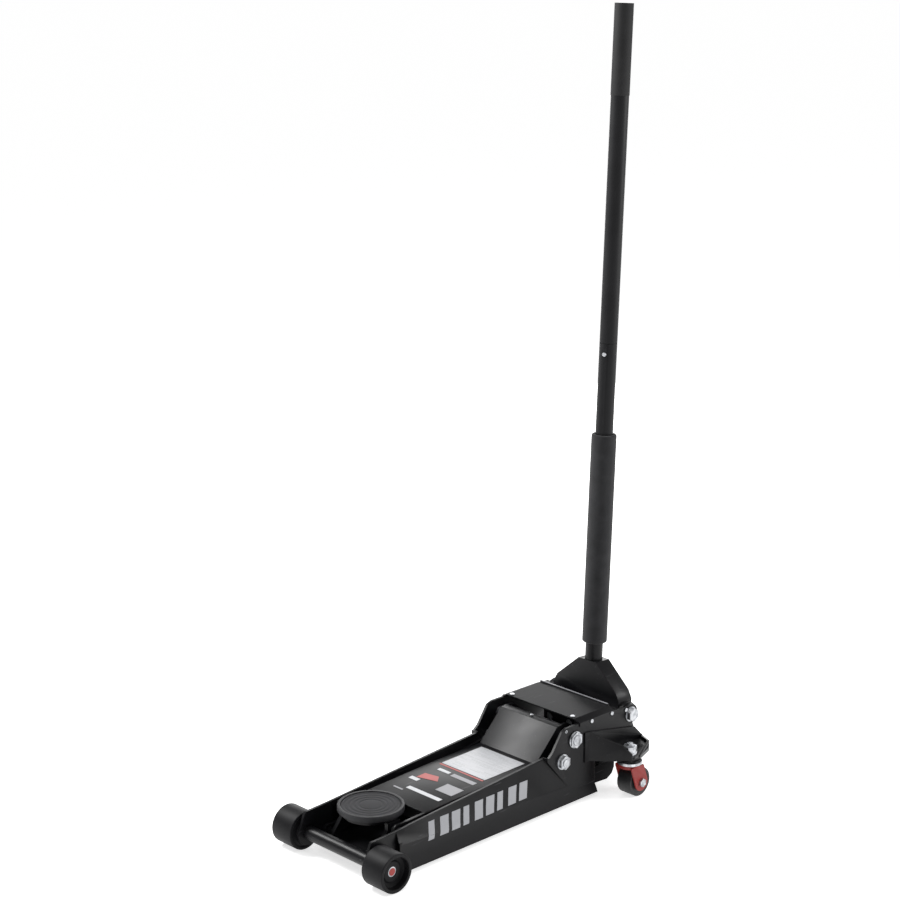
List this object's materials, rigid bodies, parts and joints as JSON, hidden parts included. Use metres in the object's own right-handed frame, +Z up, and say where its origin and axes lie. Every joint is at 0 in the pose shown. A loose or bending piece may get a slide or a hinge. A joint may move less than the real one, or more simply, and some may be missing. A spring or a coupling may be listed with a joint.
{
  "type": "hydraulic floor jack",
  "caption": "Low-profile hydraulic trolley jack with cranked lift arm, round saddle, swivel casters and a long two-piece pump handle.",
  "frame": {"origin": "centre of the bounding box, on the floor under it", "axes": "+Z up, -Y towards the saddle, +X to the right seen from the saddle end looking at the handle"},
  "size_m": [0.3518, 0.7644, 1.4771],
  "materials": {
    "black_paint": "semi-gloss powder coat",
    "tube_paint": "satin powder coat",
    "grip_rubber": "matte moulded rubber",
    "foam": "closed-cell foam, matte",
    "pad_rubber": "moulded rubber",
    "cast_saddle": "black painted casting",
    "cast_wheel": "black painted casting",
    "caster_tread": "moulded nylon",
    "red_paint": "gloss paint",
    "zinc_plate": "bright zinc plate",
    "bare_steel": "turned",
    "spring_steel": "drawn wire",
    "unit_paint": "satin paint"
  },
  "bodies": {
    "frame": {"side_plate_left": "black_paint", "side_plate_right": "black_paint", "rear_cross_plate": "black_paint", "front_floor_plate": "black_paint", "front_cross_tube": "black_paint", "front_axle": "bare_steel", "axle_washers": "zinc_plate", "top_cover": "black_paint", "cover_screws": "zinc_plate", "caster_wing_left": "black_paint", "caster_wing_right": "black_paint", "caster_stud_left": "zinc_plate", "caster_stud_right": "zinc_plate", "arm_pivot_shaft": "zinc_plate", "shaft_nuts": "zinc_plate", "tie_rod_bolts": "zinc_plate", "hydraulic_cylinder": "unit_paint", "reservoir": "unit_paint", "pump_block": "unit_paint", "pump_barrels": "bare_steel", "filler_plug": "grip_rubber", "valve_bush": "bare_steel", "socket_bolts": "zinc_plate", "return_springs": "spring_steel", "plunger_springs": "spring_steel"},
    "arm": {"lift_arm": "black_paint", "arm_lugs": "black_paint", "lever_pin": "bare_steel", "saddle_pin": "bare_steel"},
    "yoke": {"saddle_yoke": "black_paint"},
    "saddle": {"saddle_cup": "cast_saddle", "saddle_pad": "pad_rubber"},
    "tie_rods": {"tie_rod_left": "black_paint", "tie_rod_right": "black_paint"},
    "ram": {"ram_rod": "bare_steel", "ram_head": "bare_steel"},
    "socket": {"handle_socket": "black_paint", "socket_rollers": "bare_steel"},
    "handle": {"handle_lower": "tube_paint", "handle_upper": "tube_paint", "hand_grip": "grip_rubber", "end_cap": "grip_rubber", "foam_sleeve": "foam", "drive_ball": "bare_steel"},
    "button": {"snap_button": "zinc_plate"},
    "valve_stem": {"release_valve_stem": "bare_steel"},
    "plunger_left": {"pump_plunger_left": "bare_steel"},
    "plunger_right": {"pump_plunger_right": "bare_steel"},
    "front_wheel_left": {"front_wheel_left": "cast_wheel", "hub_cap_left": "zinc_plate"},
    "front_wheel_right": {"front_wheel_right": "cast_wheel", "hub_cap_right": "zinc_plate"},
    "caster_left": {"caster_fork_left": "red_paint", "caster_bolt_left": "zinc_plate"},
    "caster_right": {"caster_fork_right": "red_paint", "caster_bolt_right": "zinc_plate"},
    "caster_wheel_left": {"caster_wheel_left": "caster_tread"},
    "caster_wheel_right": {"caster_wheel_right": "caster_tread"}
  },
  "joints": [
    {"name": "arm_lift", "type": "hinge", "parent": "frame", "child": "arm", "pos_m": [0, 0.15177, 0.128], "axis": [-1, 0, 0], "range_deg": [0, 63]},
    {"name": "saddle_level", "type": "hinge", "parent": "arm", "child": "yoke", "pos_m": [0, -0.27323, 0.067], "axis": [-1, 0, 0], "range_deg": [-63, 0]},
    {"name": "tie_rod_swing", "type": "hinge", "parent": "frame", "child": "tie_rods", "pos_m": [0, 0.11777, 0.093], "axis": [-1, 0, 0], "range_deg": [0, 63]},
    {"name": "saddle_spin", "type": "hinge", "parent": "yoke", "child": "saddle", "pos_m": [0, -0.27323, 0.09], "axis": [0, 0, 1], "continuous": true},
    {"name": "ram_slide", "type": "slide", "parent": "frame", "child": "ram", "axis": [0, -1, 0], "range_m": [0, 0.0734], "deforming": ["return_springs"]},
    {"name": "handle_tilt", "type": "hinge", "parent": "frame", "child": "socket", "pos_m": [0, 0.30977, 0.136], "axis": [-1, 0, 0], "range_deg": [0, 72]},
    {"name": "handle_twist", "type": "hinge", "parent": "socket", "child": "handle", "pos_m": [0, 0.30977, 0.136], "axis": [0, 0.0408, 0.9992], "range_deg": [0, 180]},
    {"name": "valve_turn", "type": "hinge", "parent": "frame", "child": "valve_stem", "pos_m": [0, 0.30977, 0.136], "axis": [0, 0.7071, 0.7071], "range_deg": [0, 180]},
    {"name": "button_press", "type": "slide", "parent": "handle", "child": "button", "axis": [-0.309, 0.9503, -0.0388], "range_m": [0, 0.0035], "stiffness_N_per_m": 1500, "springref_m": -0.001},
    {"name": "plunger_left_stroke", "type": "slide", "parent": "frame", "child": "plunger_left", "axis": [0, -1, 0], "range_m": [0, 0.0213], "deforming": ["plunger_springs"]},
    {"name": "plunger_right_stroke", "type": "slide", "parent": "frame", "child": "plunger_right", "axis": [0, -1, 0], "range_m": [0, 0.0213]},
    {"name": "front_wheel_left_spin", "type": "hinge", "parent": "frame", "child": "front_wheel_left", "pos_m": [-0.1215, -0.34623, 0.036], "axis": [1, 0, 0], "continuous": true},
    {"name": "front_wheel_right_spin", "type": "hinge", "parent": "frame", "child": "front_wheel_right", "pos_m": [0.1215, -0.34623, 0.036], "axis": [1, 0, 0], "continuous": true},
    {"name": "caster_left_swivel", "type": "hinge", "parent": "frame", "child": "caster_left", "pos_m": [-0.15, 0.25377, 0.06], "axis": [0, 0, 1], "continuous": true},
    {"name": "caster_right_swivel", "type": "hinge", "parent": "frame", "child": "caster_right", "pos_m": [0.15, 0.25377, 0.06], "axis": [0, 0, 1], "continuous": true},
    {"name": "caster_left_spin", "type": "hinge", "parent": "caster_left", "child": "caster_wheel_left", "pos_m": [-0.15, 0.26577, 0.0285], "axis": [1, 0, 0], "continuous": true},
    {"name": "caster_right_spin", "type": "hinge", "parent": "caster_right", "child": "caster_wheel_right", "pos_m": [0.15, 0.26577, 0.0285], "axis": [1, 0, 0], "continuous": true}
  ],
  "couplings": [
    {"joint": "saddle_level", "follows": "arm_lift", "ratio": -1},
    {"joint": "tie_rod_swing", "follows": "arm_lift", "ratio": 1},
    {"joint": "ram_slide", "follows": "arm_lift", "m_per_rad": 0.066572},
    {"joint": "plunger_left_stroke", "follows": "handle_tilt", "m_per_rad": 0.016839},
    {"joint": "plunger_right_stroke", "follows": "handle_tilt", "m_per_rad": 0.016839},
    {"joint": "valve_turn", "follows": "handle_twist", "ratio": 1}
  ]
}
